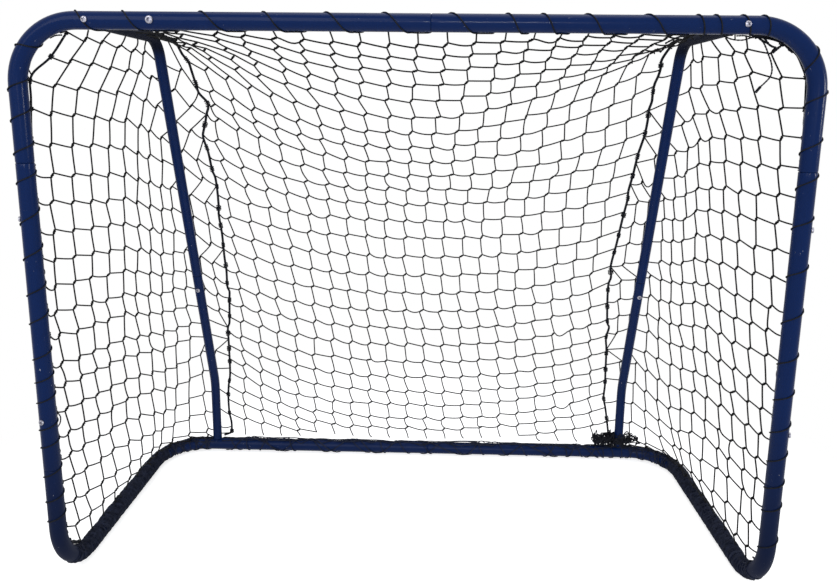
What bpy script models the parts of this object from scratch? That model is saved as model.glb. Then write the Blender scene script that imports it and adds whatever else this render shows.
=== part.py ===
# Knock-down hockey goal: a bent steel tube frame, two rear struts and a laced square-mesh net.
# Metres, +Z up, +X to the right seen from the front, +Y to the rear, where the net is.
# The origin is on the floor in the middle of the footprint.

import math

import bmesh
import bpy
from mathutils import Vector

# Tube frame, outside sizes
WIDTH = 1.150
DEPTH = 0.500
HEIGHT = 0.900
TUBE = 0.0254
TUBE_WALL = 0.0012
TUBE_SIDES = 12
BEND_RADIUS = 0.090
BEND_STEPS = 6

# Sleeve joints: one tube end is drawn down and slides into the next tube
GAP = 0.0003
BAR_SLEEVE = 0.050
POST_SLEEVE = 0.100
SHOULDER = 0.0015
CENTRE_SEAM_X = 0.025
UPPER_SEAM_Z = 0.687
LOWER_SEAM_Z = 0.208
RAIL_SEAM_Y = 0.020

# Rear struts, running from behind the crossbar over a bend down to the rear bar
STRUT = 0.0190
STRUT_WALL = 0.0010
STRUT_X = 0.454
STRUT_SLOPE = 0.32
STRUT_BEND_Y = 0.0060
STRUT_TOP_RADIUS = 0.045
STRUT_FOOT_RADIUS = 0.120
STRUT_SEAM_Z = 0.430
STRUT_SLEEVE = 0.050
SPIGOT_RADIUS = 0.0082
SPIGOT_HEIGHT = 0.040

# Fasteners
SCREW_SHANK = 0.0020
SCREW_HEAD = 0.0042
SCREW_HEIGHT = 0.0026
SCREW_HOLE = 0.0023
BOLT_X = -0.363
BOLT_SHANK = 0.0028
BOLT_HEAD = 0.0052
BOLT_HEIGHT = 0.0036
BOLT_HOLE = 0.0031
BOLT_KEY = 0.0025
NUT_RADIUS = 0.0055
NUT_HEIGHT = 0.0045
NUT_BORE = 0.0036
PLUG_LENGTH = 0.018
JOINT_SCREW = 0.009
SPIGOT_ROOT = 0.0035
POST_SCREW_TURN = {
    ("left", "upper"): 75, ("left", "lower"): 15, ("right", "upper"): 60, ("right", "lower"): 75,
}
UPPER_SCREW_Z = 0.605
LOWER_SCREW_Z = 0.290
STRUT_SCREW_Z = 0.400

# Net and cords. The net has the real outline at twice the real mesh.
NET_CORD = 0.0022
NET_ROWS = 10
SIDE_COLUMNS = 6
REAR_COLUMNS = 10
ROOF_ROWS = 3
LACING = 0.0022
LACING_POINTS = 8
LACING_SIDES = 4
ROPE = 0.0046
NET_STANDOFF = 0.0190
NET_FOOT_Z = 0.0360
RAIL_FOLLOW = 0.350
SIDE_SAG = 0.012
STRUT_CLEAR = 0.0060
STRUT_BEHIND = 0.0150
ROOF_SHARE = 0.230
REAR_GAP = 0.012
ROPE_BEHIND = 0.0130
ROPE_CLEAR = 0.0058
ROPE_STEPS = 20
ROPE_HEIGHTS = (0.875, 0.810, 0.720, 0.590, 0.400, 0.290, 0.190, 0.110, 0.040)
ROPE_INSET_LEFT = (0.034, 0.052, 0.058, 0.060, 0.057, 0.046, 0.028, 0.025, 0.028)
ROPE_INSET_RIGHT = (0.022, 0.030, 0.038, 0.048, 0.058, 0.048, 0.038, 0.029, 0.020)
MIDDLE_PROFILE = (
    (0, -0.215, 0.872), (0, -0.080, 0.812), (0, 0.035, 0.690), (0, 0.120, 0.530),
    (0, 0.176, 0.350), (0, 0.214, 0.180), (0, 0.236, 0.040),
)
BAR_LACING = (-0.392, 0.428)
BAR_TURNS = 10
BAR_START = 4.5
REAR_LACING = 0.420
REAR_TURNS = 8
POST_LACING = (0.115, 0.780)
POST_TURNS = {"left": 14, "right": 10}
RAIL_LACING = (-0.140, 0.135)
RAIL_TURNS = 8
COIL_POINTS = 14
COIL_Z = 0.0345
COIL_RISE = 0.0042
COIL_X = 0.4500
COIL_LOOPS = 4
COIL_HALF_WIDTH = 0.0160
COIL_HALF_DEPTH = 0.0120

# A wrap is a polygon, so it stands off the tube's corners by the gap at its flats
TUBE_CORNER = TUBE / 2 / math.cos(math.pi / TUBE_SIDES)
WRAP_FLAT = TUBE_CORNER + GAP + LACING / 2
WRAP_RADIUS = WRAP_FLAT / math.cos(math.pi / LACING_POINTS)
LACING_FLAT = LACING / 2 * math.cos(math.pi / LACING_SIDES)

POST_X = WIDTH / 2 - TUBE / 2
FRONT_Y = -DEPTH / 2 + TUBE / 2
REAR_Y = DEPTH / 2 - TUBE / 2
BAR_Z = HEIGHT - TUBE / 2
RAIL_Z = WRAP_FLAT + LACING_FLAT * math.cos(math.pi / LACING_POINTS)
STRUT_FOOT_Z = BAR_Z - (REAR_Y - STRUT_BEND_Y) / STRUT_SLOPE
ARM_FRONT_Y = FRONT_Y + TUBE / 2 + GAP

BLUE = (0.010, 0.024, 0.110)
ZINC = (0.55, 0.56, 0.58)
NYLON = (0.030, 0.030, 0.032)
NETTING = (0.012, 0.012, 0.013)


def clearScene():
    for item in list(bpy.data.objects):
        bpy.data.objects.remove(item, do_unlink=True)


def finish(obj, colour, roughness, metallic):
    material = bpy.data.materials.new(obj.name + "_finish")
    material.use_nodes = True
    shader = material.node_tree.nodes["Principled BSDF"]
    shader.inputs["Base Color"].default_value = (*colour, 1)
    shader.inputs["Roughness"].default_value = roughness
    shader.inputs["Metallic"].default_value = metallic
    obj.data.materials.append(material)
    return obj


def paint(obj):
    return finish(obj, BLUE, 0.32, 0.0)


def solid(name, points, faces, smooth=False):
    """One object from points and faces, with its faces turned outwards."""
    mesh = bpy.data.meshes.new(name)
    mesh.from_pydata([tuple(point) for point in points], [], faces)
    work = bmesh.new()
    work.from_mesh(mesh)
    bmesh.ops.recalc_face_normals(work, faces=work.faces)
    work.to_mesh(mesh)
    work.free()
    if smooth:
        mesh.shade_smooth()
        mesh.set_sharp_from_angle(angle=math.radians(40))
    obj = bpy.data.objects.new(name, mesh)
    bpy.context.scene.collection.objects.link(obj)
    return obj


def helper(obj):
    obj.hide_render = True
    obj.display_type = "WIRE"
    return obj


def combine(target, other, operation):
    modifier = target.modifiers.new(other.name, "BOOLEAN")
    modifier.operation = operation
    modifier.solver = "EXACT"
    modifier.object = helper(other)


def across(direction):
    """Two unit vectors square to a direction and to each other."""
    direction = Vector(direction).normalized()
    aside = Vector((0, 0, 1)) if abs(direction.z) < 0.9 else Vector((1, 0, 0))
    first = aside.cross(direction).normalized()
    return first, direction.cross(first)


def turned(name, base, direction, profile, sides):
    """A turned solid: profile lists (radius, height) from the axis out and back to the axis."""
    first, second = across(direction)
    direction = Vector(direction).normalized()
    points, rings = [], []
    for radius, height in profile:
        middle = Vector(base) + direction * height
        if radius == 0:
            rings.append([len(points)])
            points.append(middle)
            continue
        ring = []
        for step in range(sides):
            angle = 2 * math.pi * (step + 0.5) / sides
            ring.append(len(points))
            points.append(middle + (first * math.cos(angle) + second * math.sin(angle)) * radius)
        rings.append(ring)
    faces = []
    for low, high in zip(rings, rings[1:]):
        for step in range(sides):
            after = (step + 1) % sides
            if len(low) == 1:
                faces.append((low[0], high[step], high[after]))
            elif len(high) == 1:
                faces.append((low[step], low[after], high[0]))
            else:
                faces.append((low[step], low[after], high[after], high[step]))
    return solid(name, points, faces, smooth=True)


def sleeve(name, base, direction, outer, inner, length, sides):
    """A short straight tube, open at both ends."""
    profile = [(inner, 0), (outer, 0), (outer, length), (inner, length), (inner, 0)]
    first, second = across(direction)
    direction = Vector(direction).normalized()
    points = []
    for radius, height in profile[:-1]:
        for step in range(sides):
            angle = 2 * math.pi * (step + 0.5) / sides
            round_ = first * math.cos(angle) + second * math.sin(angle)
            points.append(Vector(base) + direction * height + round_ * radius)
    faces = []
    for ring in range(4):
        for step in range(sides):
            after = (step + 1) % sides
            near, far = ring * sides, (ring + 1) % 4 * sides
            faces.append((near + step, near + after, far + after, far + step))
    return solid(name, points, faces, smooth=True)


def drill(target, base, direction, radius, length):
    """A round hole from base along direction."""
    name = "drill_" + target.name + str(len(target.modifiers))
    hole = turned(name, base, direction, [(0, 0), (radius, 0), (radius, length), (0, length)], 8)
    combine(target, hole, "DIFFERENCE")


def roundedPath(corners, radii):
    """Stations (point, tangent) along straight runs joined by round bends at the inner corners."""
    corners = [Vector(corner) for corner in corners]
    path = [(corners[0], (corners[1] - corners[0]).normalized())]
    for index in range(1, len(corners) - 1):
        before = (corners[index] - corners[index - 1]).normalized()
        after = (corners[index + 1] - corners[index]).normalized()
        turn = before.angle(after)
        radius = radii[index - 1]
        start = corners[index] - before * radius * math.tan(turn / 2)
        inward = (after - before * before.dot(after)).normalized()
        steps = max(2, round(BEND_STEPS * turn / (math.pi / 2)))
        for step in range(steps + 1):
            angle = turn * step / steps
            point = start + before * math.sin(angle) * radius + inward * (1 - math.cos(angle)) * radius
            path.append((point, before * math.cos(angle) + inward * math.sin(angle)))
    path.append((corners[-1], (corners[-1] - corners[-2]).normalized()))
    return path


def tube(name, corners, plane, size, wall, radii=(), ends=(0, 0)):
    """A bent hollow tube. `ends` is how far each end is drawn down, past its seam, into the next tube."""
    full = (size / 2, size / 2 - wall)
    drawn = (full[1] - GAP, full[1] - GAP - wall)
    stations = [(point, along_, full) for point, along_ in roundedPath(corners, radii)]
    for male, place, outwards in ((ends[0], 0, -1), (ends[1], -1, 1)):
        if not male:
            continue
        seam, along_, _ = stations.pop(place)
        out = along_ * outwards
        swage = [
            (seam - out * SHOULDER, along_, full),
            (seam - out * GAP, along_, drawn),
            (seam + out * male, along_, drawn),
        ]
        stations = stations + swage if outwards > 0 else swage[::-1] + stations
    plane = Vector(plane).normalized()
    points = []
    for skin in (0, 1):
        for point, along_, sizes in stations:
            radius = sizes[skin] / math.cos(math.pi / TUBE_SIDES)
            aside = along_.cross(plane)
            for step in range(TUBE_SIDES):
                angle = 2 * math.pi * (step + 0.5) / TUBE_SIDES
                points.append(point + (plane * math.cos(angle) + aside * math.sin(angle)) * radius)
    rings = len(stations)
    faces = []
    for step in range(TUBE_SIDES):
        after = (step + 1) % TUBE_SIDES
        for skin in (0, 1):
            for ring in range(skin * rings, skin * rings + rings - 1):
                near, far = ring * TUBE_SIDES, (ring + 1) * TUBE_SIDES
                faces.append((near + step, near + after, far + after, far + step))
        for ring in (0, rings - 1):
            near, far = ring * TUBE_SIDES, (ring + rings) * TUBE_SIDES
            faces.append((near + step, near + after, far + after, far + step))
    return paint(solid(name, points, faces, smooth=True))


def sweep(name, route, outward, sideways, radius, sides):
    """An unbroken cord along route. Each section has a flat that faces its outward direction."""
    points, faces = [], []
    for point, out, side in zip(route, outward, sideways):
        for step in range(sides):
            angle = 2 * math.pi * (step + 0.5) / sides
            points.append(point + (out * math.cos(angle) + side * math.sin(angle)) * radius)
    for index in range(len(route) - 1):
        near, far = index * sides, (index + 1) * sides
        for step in range(sides):
            after = (step + 1) % sides
            faces.append((near + step, near + after, far + after, far + step))
    faces.append(tuple(range(sides)))
    faces.append(tuple(range(len(points) - sides, len(points))))
    return finish(solid(name, points, faces, smooth=True), NETTING, 0.85, 0.0)


def printLeastGap(name, route, diameter, apart):
    """The least gap between two stretches of a winding that are `apart` points apart or more."""
    least = min(
        (route[i] - route[j]).length
        for i in range(len(route))
        for j in range(i + apart, len(route))
    )
    print(f"{name}: least gap to itself {(least - diameter) * 1000:.1f} mm")


def lacing(name, start, end, turns, first=0.5):
    """Lacing cord wound round a straight tube. `first` is where on the turn it starts, in points."""
    start, end = Vector(start), Vector(end)
    axis = (end - start).normalized()
    down = Vector((0, 0, -1)) if abs(axis.z) < 0.5 else Vector((0, -1, 0))
    aside = axis.cross(down)
    pitch = (end - start).length / turns
    stretch = math.hypot(pitch, 2 * math.pi * WRAP_FLAT) / (2 * math.pi * WRAP_FLAT)
    route, outward = [], []
    for index in range(turns * LACING_POINTS + 1):
        angle = 2 * math.pi * (index + first) / LACING_POINTS
        out = down * math.cos(angle) + aside * math.sin(angle)
        route.append(start + axis * pitch * index / LACING_POINTS + out * WRAP_RADIUS)
        outward.append(out)
    printLeastGap(name, route, LACING, LACING_POINTS // 2 + 1)
    return sweep(name, route, outward, [axis * stretch] * len(route), LACING / 2, LACING_SIDES)


def spareCoil(name, middle):
    """Spare cord wound round a strut's foot in loops that climb a little each turn."""
    middle = Vector(middle)
    route, outward, sideways = [], [], []
    for index in range(COIL_LOOPS * COIL_POINTS + 1):
        angle = 2 * math.pi * index / COIL_POINTS
        out = Vector((math.cos(angle), math.sin(angle), 0))
        lift = COIL_RISE * index / COIL_POINTS
        shape = Vector((out.x * COIL_HALF_WIDTH, out.y * COIL_HALF_DEPTH, lift))
        route.append(middle + shape)
        outward.append(out)
        sideways.append(Vector((0, 0, 1)))
    printLeastGap(name, route, LACING, COIL_POINTS // 2)
    return sweep(name, route, outward, sideways, LACING / 2, LACING_SIDES)


def throughPoints(points, steps):
    """A smooth curve through points, read off at `steps` places a span."""
    points = [Vector(point) for point in points]
    points = [points[0] * 2 - points[1]] + points + [points[-1] * 2 - points[-2]]
    curve = []
    for a, b, c, d in zip(points, points[1:], points[2:], points[3:]):
        for step in range(steps):
            t = step / steps
            curve.append(
                (b * 2 + (c - a) * t + (a * 2 - b * 5 + c * 4 - d) * t * t
                 + (b * 3 - a - c * 3 + d) * t * t * t) / 2
            )
    return curve + [points[-2]]


def along(route, share):
    """The point at a share of the route's length."""
    lengths = [(b - a).length for a, b in zip(route, route[1:])]
    left = share * sum(lengths)
    for (a, b), length in zip(zip(route, route[1:]), lengths):
        if left <= length:
            return a.lerp(b, left / length)
        left -= length
    return route[-1]


def rope(name, route):
    """A corner rope as a curve with round section and filled ends."""
    data = bpy.data.curves.new(name, "CURVE")
    data.dimensions = "3D"
    data.bevel_depth = ROPE / 2
    data.bevel_resolution = 2
    data.use_fill_caps = True
    line = data.splines.new("POLY")
    line.points.add(len(route) - 1)
    for place, point in zip(line.points, route):
        place.co = (*point, 1)
    obj = bpy.data.objects.new(name, data)
    bpy.context.scene.collection.objects.link(obj)
    return finish(obj, NETTING, 0.85, 0.0)


def net(name, grid):
    """A net panel. grid holds its knots in rows; every strand has a diamond section."""
    half = NET_CORD / 2
    rows, columns = len(grid), len(grid[0])
    points, top, bottom, edge = [], {}, {}, {}

    def add(point):
        points.append(point)
        return len(points) - 1

    def step(i, j, di, dj):
        """Unit direction from a knot to its neighbour, or away from the other one at an edge."""
        if 0 <= i + di < rows and 0 <= j + dj < columns:
            return (grid[i + di][j + dj] - grid[i][j]).normalized()
        return -step(i, j, -di, -dj)

    for i in range(rows):
        for j in range(columns):
            across_, down = step(i, j, 0, 1), step(i, j, 1, 0)
            normal = across_.cross(down).normalized() * half
            top[i, j] = add(grid[i][j] + normal)
            bottom[i, j] = add(grid[i][j] - normal)
            away = Vector()
            away += step(i, j, -1, 0) if i == 0 else Vector()
            away += step(i, j, 1, 0) if i == rows - 1 else Vector()
            away += step(i, j, 0, -1) if j == 0 else Vector()
            away += step(i, j, 0, 1) if j == columns - 1 else Vector()
            if away.length:
                edge[i, j] = add(grid[i][j] + away * half)
    faces = []

    def strand(a, b, near, far):
        faces.append((top[a], top[b], far, near))
        faces.append((bottom[a], bottom[b], far, near))

    for i in range(rows - 1):
        for j in range(columns - 1):
            corners = [(i, j, 1, 1), (i, j + 1, 1, -1), (i + 1, j + 1, -1, -1), (i + 1, j, -1, 1)]
            inner = [
                add(grid[y][x] + (step(y, x, dy, 0) + step(y, x, 0, dx)) * half)
                for y, x, dy, dx in corners
            ]
            for k in range(4):
                m = (k + 1) % 4
                strand(corners[k][:2], corners[m][:2], inner[k], inner[m])
    for j in range(columns - 1):
        for i in (0, rows - 1):
            strand((i, j), (i, j + 1), edge[i, j], edge[i, j + 1])
    for i in range(rows - 1):
        for j in (0, columns - 1):
            strand((i, j), (i + 1, j), edge[i, j], edge[i + 1, j])
    return finish(solid(name, points, faces), NETTING, 0.85, 0.0)


def strutY(z):
    """Where the strut's straight run is at a height, between its two bends."""
    return min(max(REAR_Y - (z - STRUT_FOOT_Z) * STRUT_SLOPE, STRUT_BEND_Y), REAR_Y)


def frameTubes(side, word):
    """The four frame tubes of one side; side is -1 on the left and 1 on the right."""
    x = side * POST_X
    crossbar = tube(
        "crossbar_" + word,
        [(x, FRONT_Y, UPPER_SEAM_Z), (x, FRONT_Y, BAR_Z), (CENTRE_SEAM_X, FRONT_Y, BAR_Z)],
        (0, 1, 0), TUBE, TUBE_WALL, radii=[BEND_RADIUS], ends=(POST_SLEEVE, BAR_SLEEVE * (side > 0)),
    )
    post = tube(
        "post_" + word, [(x, FRONT_Y, LOWER_SEAM_Z), (x, FRONT_Y, UPPER_SEAM_Z)],
        (0, 1, 0), TUBE, TUBE_WALL,
    )
    front = tube(
        "base_front_" + word,
        [(x, FRONT_Y, LOWER_SEAM_Z), (x, FRONT_Y, RAIL_Z), (x, RAIL_SEAM_Y, RAIL_Z)],
        (1, 0, 0), TUBE, TUBE_WALL, radii=[BEND_RADIUS], ends=(POST_SLEEVE, BAR_SLEEVE),
    )
    rear = tube(
        "base_rear_" + word,
        [(x, RAIL_SEAM_Y, RAIL_Z), (x, REAR_Y, RAIL_Z), (CENTRE_SEAM_X, REAR_Y, RAIL_Z)],
        (0, 0, 1), TUBE, TUBE_WALL, radii=[BEND_RADIUS], ends=(0, BAR_SLEEVE * (side > 0)),
    )
    foot = (side * STRUT_X, REAR_Y, RAIL_Z + TUBE / 2 - SPIGOT_ROOT)
    height = SPIGOT_ROOT + SPIGOT_HEIGHT
    profile = [(0, 0), (SPIGOT_RADIUS, 0), (SPIGOT_RADIUS, height), (0, height)]
    combine(rear, turned("spigot_" + word, foot, (0, 0, 1), profile, TUBE_SIDES), "UNION")
    return crossbar, post, front, rear


def strutTubes(side, word):
    x = side * STRUT_X
    seam = Vector((x, strutY(STRUT_SEAM_Z), STRUT_SEAM_Z))
    upper = tube(
        "strut_upper_" + word, [(x, ARM_FRONT_Y, BAR_Z), (x, STRUT_BEND_Y, BAR_Z), seam],
        (1, 0, 0), STRUT, STRUT_WALL, radii=[STRUT_TOP_RADIUS], ends=(0, STRUT_SLEEVE),
    )
    lower = tube(
        "strut_lower_" + word,
        [seam, (x, REAR_Y, STRUT_FOOT_Z), (x, REAR_Y, RAIL_Z + TUBE / 2 + GAP)],
        (1, 0, 0), STRUT, STRUT_WALL, radii=[STRUT_FOOT_RADIUS],
    )
    return upper, lower


def screw(name, base, inward, shank):
    """A pan-head screw whose head sits on the tube at base and whose shank runs inward."""
    profile = [
        (0, -SCREW_HEIGHT), (SCREW_HEAD * 0.65, -SCREW_HEIGHT), (SCREW_HEAD, -SCREW_HEIGHT * 0.5),
        (SCREW_HEAD, 0), (SCREW_SHANK, 0), (SCREW_SHANK, shank), (0, shank),
    ]
    return finish(turned(name, base, inward, profile, 10), ZINC, 0.35, 1.0)


def strutFixing(side, word, crossbar):
    """The screw through the crossbar and the threaded plug that it bites in the strut's arm."""
    x = side * STRUT_X
    face = Vector((x, FRONT_Y - TUBE / 2, BAR_Z))
    drill(crossbar, face - Vector((0, 0.002, 0)), (0, 1, 0), SCREW_HOLE, TUBE + 0.004)
    screw("strut_screw_" + word, face - Vector((0, GAP, 0)), (0, 1, 0), TUBE + PLUG_LENGTH - 0.002)
    plug = sleeve(
        "strut_plug_" + word, (x, ARM_FRONT_Y + GAP, BAR_Z), (0, 1, 0),
        STRUT / 2 - STRUT_WALL - GAP, SCREW_HOLE, PLUG_LENGTH, TUBE_SIDES,
    )
    finish(plug, NYLON, 0.5, 0.0)


def jointScrew(name, outer, inner, middle, facing, size):
    """A short screw on the outside of a sleeve joint, through the wall of both tubes."""
    facing = Vector(facing).normalized()
    corner = size / 2 / math.cos(math.pi / TUBE_SIDES) + GAP
    base = Vector(middle) + facing * corner
    for piece in (outer, inner):
        drill(piece, base + facing * 0.002, -facing, SCREW_HOLE, corner)
    screw(name, base, -facing, JOINT_SCREW)


def crossbarBolt(crossbar):
    """The socket-head bolt through the left crossbar tube, with its nut behind."""
    face = Vector((BOLT_X, FRONT_Y - TUBE / 2, BAR_Z))
    drill(crossbar, face - Vector((0, 0.002, 0)), (0, 1, 0), BOLT_HOLE, TUBE + 0.004)
    length = TUBE + NUT_HEIGHT + 0.002
    profile = [
        (0, -BOLT_HEIGHT * 0.4), (BOLT_KEY, -BOLT_HEIGHT * 0.4), (BOLT_KEY, -BOLT_HEIGHT),
        (BOLT_HEAD * 0.75, -BOLT_HEIGHT), (BOLT_HEAD, -BOLT_HEIGHT * 0.5), (BOLT_HEAD, 0),
        (BOLT_SHANK, 0), (BOLT_SHANK, length), (0, length),
    ]
    bolt = turned("crossbar_bolt", face - Vector((0, GAP, 0)), (0, 1, 0), profile, 12)
    finish(bolt, ZINC, 0.25, 1.0)
    behind = Vector((BOLT_X, FRONT_Y + TUBE / 2 + GAP, BAR_Z))
    finish(sleeve("crossbar_nut", behind, (0, 1, 0), NUT_RADIUS, NUT_BORE, NUT_HEIGHT, 6), ZINC, 0.35, 1.0)


def frontFoot(side):
    """The side net's lowest front knot, inside the bend from the post to the rail."""
    inside = BEND_RADIUS - (BEND_RADIUS - NET_STANDOFF) * math.sqrt(0.5)
    return Vector((side * POST_X, FRONT_Y + inside, RAIL_Z + inside))


def footEdge(side, share):
    """The side net's lower edge, over the rail and round its rear bend."""
    turn_x, turn_y = POST_X - BEND_RADIUS, REAR_Y - BEND_RADIUS
    route = [frontFoot(side), Vector((side * POST_X, FRONT_Y + BEND_RADIUS, NET_FOOT_Z))]
    for k in range(BEND_STEPS + 1):
        a = math.pi / 2 * k / BEND_STEPS
        x, y = turn_x + BEND_RADIUS * math.cos(a), turn_y + BEND_RADIUS * math.sin(a)
        route.append(Vector((side * x, y, NET_FOOT_Z)))
    return along(route + [strutEdge(side, 0)], share)


def postEdge(side, share):
    """Where the side net meets the post and the crossbar's bend, behind the tube."""
    y = FRONT_Y + NET_STANDOFF
    turn_x, turn_z = POST_X - BEND_RADIUS, BAR_Z - BEND_RADIUS
    bend = [
        (side * (turn_x + BEND_RADIUS * math.cos(a)), y, turn_z + BEND_RADIUS * math.sin(a))
        for a in (math.pi / 2 * k / BEND_STEPS for k in range(BEND_STEPS + 1))
    ]
    route = [frontFoot(side), Vector((side * POST_X, y, RAIL_Z + BEND_RADIUS))]
    return along(route + [Vector(point) for point in bend], share)


def strutEdge(side, share):
    """The side net's line past the strut: outside it and just behind."""
    x = side * (STRUT_X + STRUT / 2 + STRUT_CLEAR)
    heights = [NET_FOOT_Z, STRUT_FOOT_Z, (STRUT_FOOT_Z + BAR_Z) / 2, BAR_Z - STRUT_TOP_RADIUS]
    route = [Vector((x, strutY(z) + STRUT_BEHIND, z)) for z in heights]
    route.append(Vector((x, STRUT_BEND_Y, BAR_Z)))
    return along(route, share)


def sideNet(side, word, rope_route):
    """The side net, from the post to the corner rope behind the strut, standing on the rail."""
    grid = []
    for i in range(NET_ROWS + 1):
        share = 1 - i / NET_ROWS
        front, back = postEdge(side, share), strutEdge(side, share)
        row = []
        for j in range(SIDE_COLUMNS):
            across_ = j / (SIDE_COLUMNS - 1)
            knot = front.lerp(back, across_)
            foot = footEdge(side, across_) - frontFoot(side).lerp(strutEdge(side, 0), across_)
            sag = math.sin(math.pi * across_) * SIDE_SAG * share * (1 - share) * 4
            row.append(knot + foot * max(0, 1 - share / RAIL_FOLLOW) ** 2 - Vector((side * sag, 0, 0)))
        edge = along(rope_route, i / NET_ROWS)
        row.append(edge + Vector((side * ROPE_CLEAR, NET_CORD, 0)))
        grid.append(row if side > 0 else row[::-1])
    return net("net_" + word, grid)


def rearNets(ropes):
    """The roof net over the struts' arms and the rear net between the corner ropes."""
    profile = throughPoints(MIDDLE_PROFILE, 6)
    left, right = ropes
    roof, rear = [], []
    for i in range(ROOF_ROWS + 1):
        share = i / ROOF_ROWS
        y = FRONT_Y + NET_STANDOFF + (STRUT_BEND_Y - FRONT_Y - NET_STANDOFF) * share
        middle = along(profile, share * ROOF_SHARE)
        half = STRUT_X - STRUT / 2 - NET_CORD / 2 - 2 * GAP
        roof.append(netRow(Vector((-half, y, BAR_Z)), middle, Vector((half, y, BAR_Z))))
    for i in range(NET_ROWS + 1):
        share = i / NET_ROWS
        inward = Vector((ROPE_CLEAR, NET_CORD, 0))
        a = along(left, share) + inward
        b = along(right, share) + Vector((-inward.x, inward.y, 0))
        middle = along(profile, ROOF_SHARE + REAR_GAP + (1 - ROOF_SHARE - REAR_GAP) * share)
        rear.append(netRow(a, middle, b))
    net("net_roof", roof)
    net("net_rear", rear)


def netRow(left, middle, right):
    """One row of knots, bowed from edge to edge through the sagging middle."""
    row = []
    for j in range(REAR_COLUMNS + 1):
        share = j / REAR_COLUMNS
        straight = left.lerp(right, share)
        bow = (2 * share - 1) ** 2
        row.append(Vector((
            straight.x,
            middle.y + (straight.y - middle.y) * bow,
            middle.z + (straight.z - middle.z) * bow,
        )))
    return row


def main():
    clearScene()
    left, right = frameTubes(-1, "left"), frameTubes(1, "right")
    struts = strutTubes(-1, "left"), strutTubes(1, "right")
    for side, word, tubes, strut in ((-1, "left", left, struts[0]), (1, "right", right, struts[1])):
        crossbar, post, front, _ = tubes
        strutFixing(side, word, crossbar)
        for level, z, inner in (("upper", UPPER_SCREW_Z, crossbar), ("lower", LOWER_SCREW_Z, front)):
            turn = math.radians(POST_SCREW_TURN[word, level])
            facing = (side * math.sin(turn), -math.cos(turn), 0)
            middle = (side * POST_X, FRONT_Y, z)
            jointScrew(f"post_screw_{level}_{word}", post, inner, middle, facing, TUBE)
        middle = (side * STRUT_X, strutY(STRUT_SCREW_Z), STRUT_SCREW_Z)
        jointScrew("strut_joint_screw_" + word, strut[1], strut[0], middle, (0, -1, -STRUT_SLOPE), STRUT)
    crossbarBolt(left[0])

    ropes = []
    for side, word, inset in ((-1, "left", ROPE_INSET_LEFT), (1, "right", ROPE_INSET_RIGHT)):
        points = [
            (side * (STRUT_X - aside), strutY(z) + ROPE_BEHIND, z)
            for z, aside in zip(ROPE_HEIGHTS, inset)
        ]
        curve = throughPoints(points, 6)
        ropes.append([along(curve, k / ROPE_STEPS) for k in range(ROPE_STEPS + 1)])
        rope("corner_rope_" + word, ropes[-1])
        sideNet(side, word, ropes[-1])
        x = side * POST_X
        lacing("lacing_post_" + word, (x, FRONT_Y, POST_LACING[0]), (x, FRONT_Y, POST_LACING[1]),
               POST_TURNS[word])
        lacing("lacing_rail_" + word, (x, RAIL_LACING[0], RAIL_Z), (x, RAIL_LACING[1], RAIL_Z), RAIL_TURNS)
    rearNets(ropes)
    lacing("lacing_crossbar", (BAR_LACING[0], FRONT_Y, BAR_Z), (BAR_LACING[1], FRONT_Y, BAR_Z),
           BAR_TURNS, BAR_START)
    lacing("lacing_rear_bar", (-REAR_LACING, REAR_Y, RAIL_Z), (REAR_LACING, REAR_Y, RAIL_Z), REAR_TURNS)
    spareCoil("spare_cord_coil", (COIL_X, REAR_Y, COIL_Z))


main()
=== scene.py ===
import math

import bpy
import numpy as np
from mathutils import Matrix, Vector


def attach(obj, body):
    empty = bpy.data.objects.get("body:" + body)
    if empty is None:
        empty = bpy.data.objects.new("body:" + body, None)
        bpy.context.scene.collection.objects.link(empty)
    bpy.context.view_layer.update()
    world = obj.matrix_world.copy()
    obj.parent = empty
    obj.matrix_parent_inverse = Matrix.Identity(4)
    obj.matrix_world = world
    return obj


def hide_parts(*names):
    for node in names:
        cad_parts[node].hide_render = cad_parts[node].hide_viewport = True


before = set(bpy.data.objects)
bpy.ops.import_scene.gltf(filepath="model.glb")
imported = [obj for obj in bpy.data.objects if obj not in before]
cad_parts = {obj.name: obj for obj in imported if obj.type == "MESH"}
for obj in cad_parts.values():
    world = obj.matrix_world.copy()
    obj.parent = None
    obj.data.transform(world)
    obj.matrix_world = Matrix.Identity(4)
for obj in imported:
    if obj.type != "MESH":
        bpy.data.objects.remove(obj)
scene = bpy.context.scene
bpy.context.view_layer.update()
bothSides = ((-1, "left"), (1, "right"))
print("frame loaded")

# Geometry helpers


def unit(vectors):
    vectors = np.asarray(vectors, float)
    return vectors / np.maximum(np.linalg.norm(vectors, axis=-1, keepdims=True), 1e-12)


def dot(a, b):
    return (a * b).sum(-1, keepdims=True)


def tangentsOf(routes):
    ends = np.concatenate([routes[..., :1, :], routes, routes[..., -1:, :]], -2)
    return unit(ends[..., 2:, :] - ends[..., :-2, :])


def carriedNormals(tangents, aside=None):
    # Normals carried along each route without twist, from `aside` or from a direction across it
    rings = tangents.shape[1]
    if aside is None:
        aside = np.where(np.abs(tangents[:, 0, 2:]) < 0.9, [[0.0, 0, 1]], [[1.0, 0, 0]])
    normals = np.empty_like(tangents)
    normals[:, 0] = unit(aside - dot(aside, tangents[:, 0]) * tangents[:, 0])
    for k in range(1, rings):
        last = normals[:, k - 1]
        normals[:, k] = unit(last - dot(last, tangents[:, k]) * tangents[:, k])
    return normals


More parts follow.
